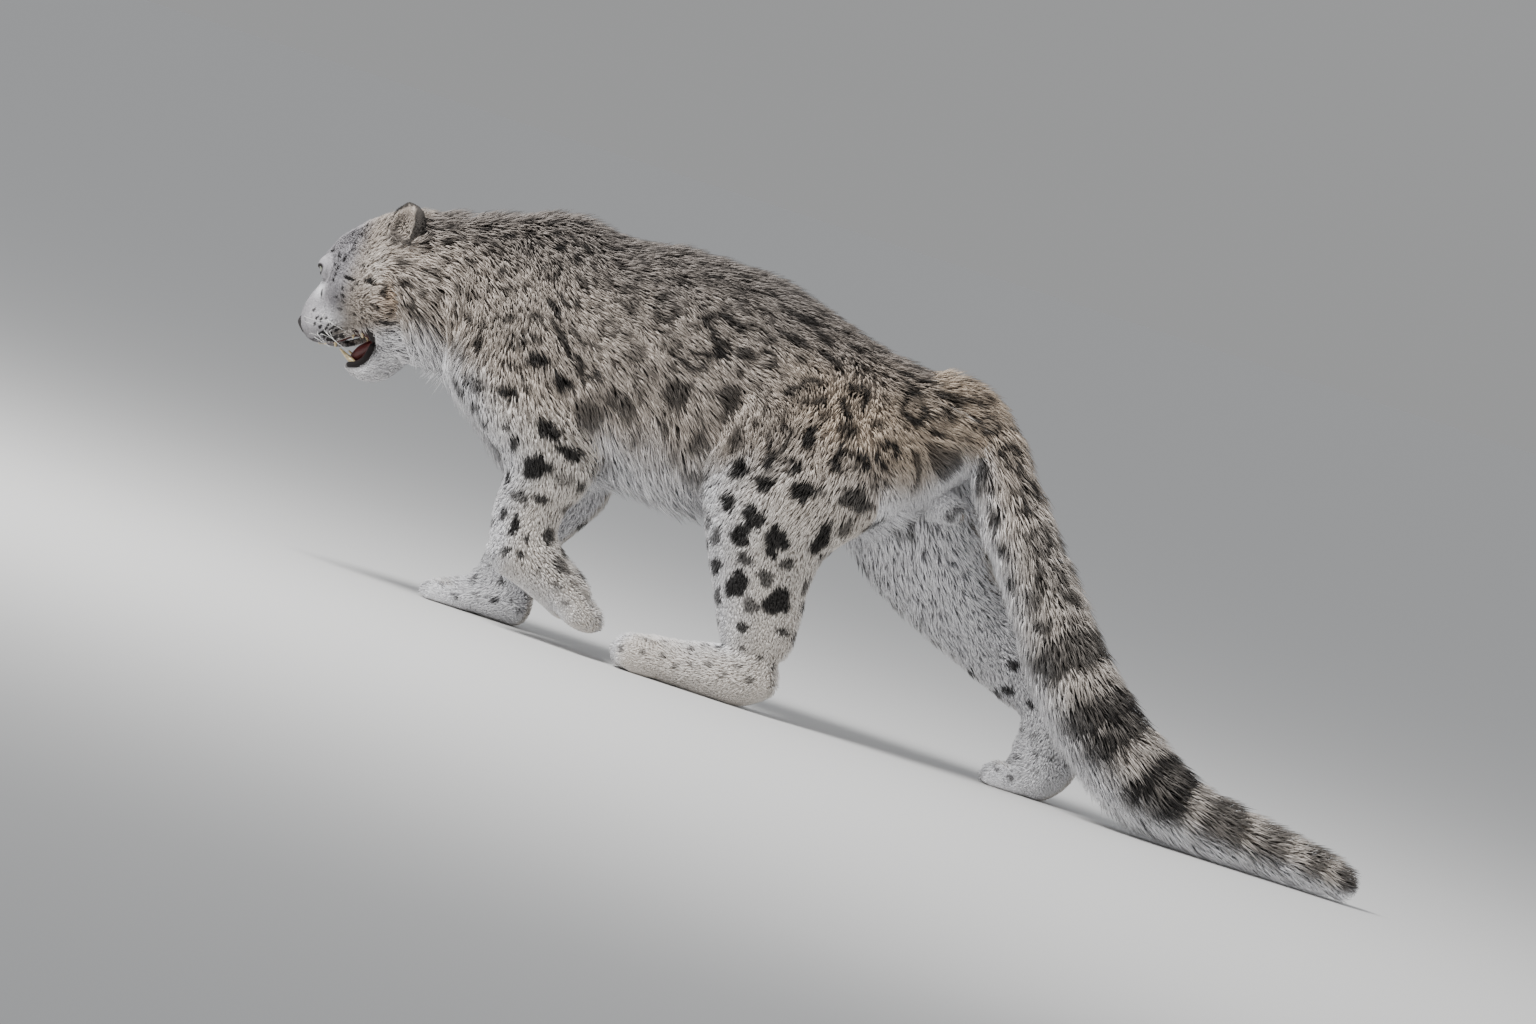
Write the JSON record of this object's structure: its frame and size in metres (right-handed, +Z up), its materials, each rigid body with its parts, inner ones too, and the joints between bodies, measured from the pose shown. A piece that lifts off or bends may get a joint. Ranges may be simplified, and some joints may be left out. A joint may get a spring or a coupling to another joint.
{
  "type": "snow leopard",
  "caption": "Life-size still model of a prowling snow leopard, mouth open, one forepaw lifted, long thick tail reaching down to the ground behind.",
  "frame": {"origin": "on the ground, under the middle of the model's box", "axes": "+Z up, the animal faces -X, its left side towards -Y"},
  "size_m": [1.78, 0.31, 0.632],
  "materials": {
    "coat": "long dense fur, grey beige with dark rosettes and white underside",
    "nose_leather": "matt bare skin",
    "tongue": "moist flesh",
    "eye": "wet, glossy"
  },
  "bodies": {
    "root": {"head": "coat", "jaw": "coat", "ear_left": "coat", "ear_right": "coat", "neck": "coat", "chest": "coat", "belly": "coat", "rump": "coat", "upper_arm_left": "coat", "forearm_left": "coat", "forepaw_left": "coat", "upper_arm_right": "coat", "forearm_right": "coat", "forepaw_right": "coat", "thigh_left": "coat", "shank_left": "coat", "hind_foot_left": "coat", "thigh_right": "coat", "shank_right": "coat", "hind_foot_right": "coat", "tail_1": "coat", "tail_2": "coat", "tail_3": "coat", "tail_4": "coat", "tail_5": "coat", "tail_6": "coat", "tail_7": "coat", "nose": "nose_leather", "tongue": "tongue", "eye_left": "eye", "eye_right": "eye"}
  },
  "joints": []
}
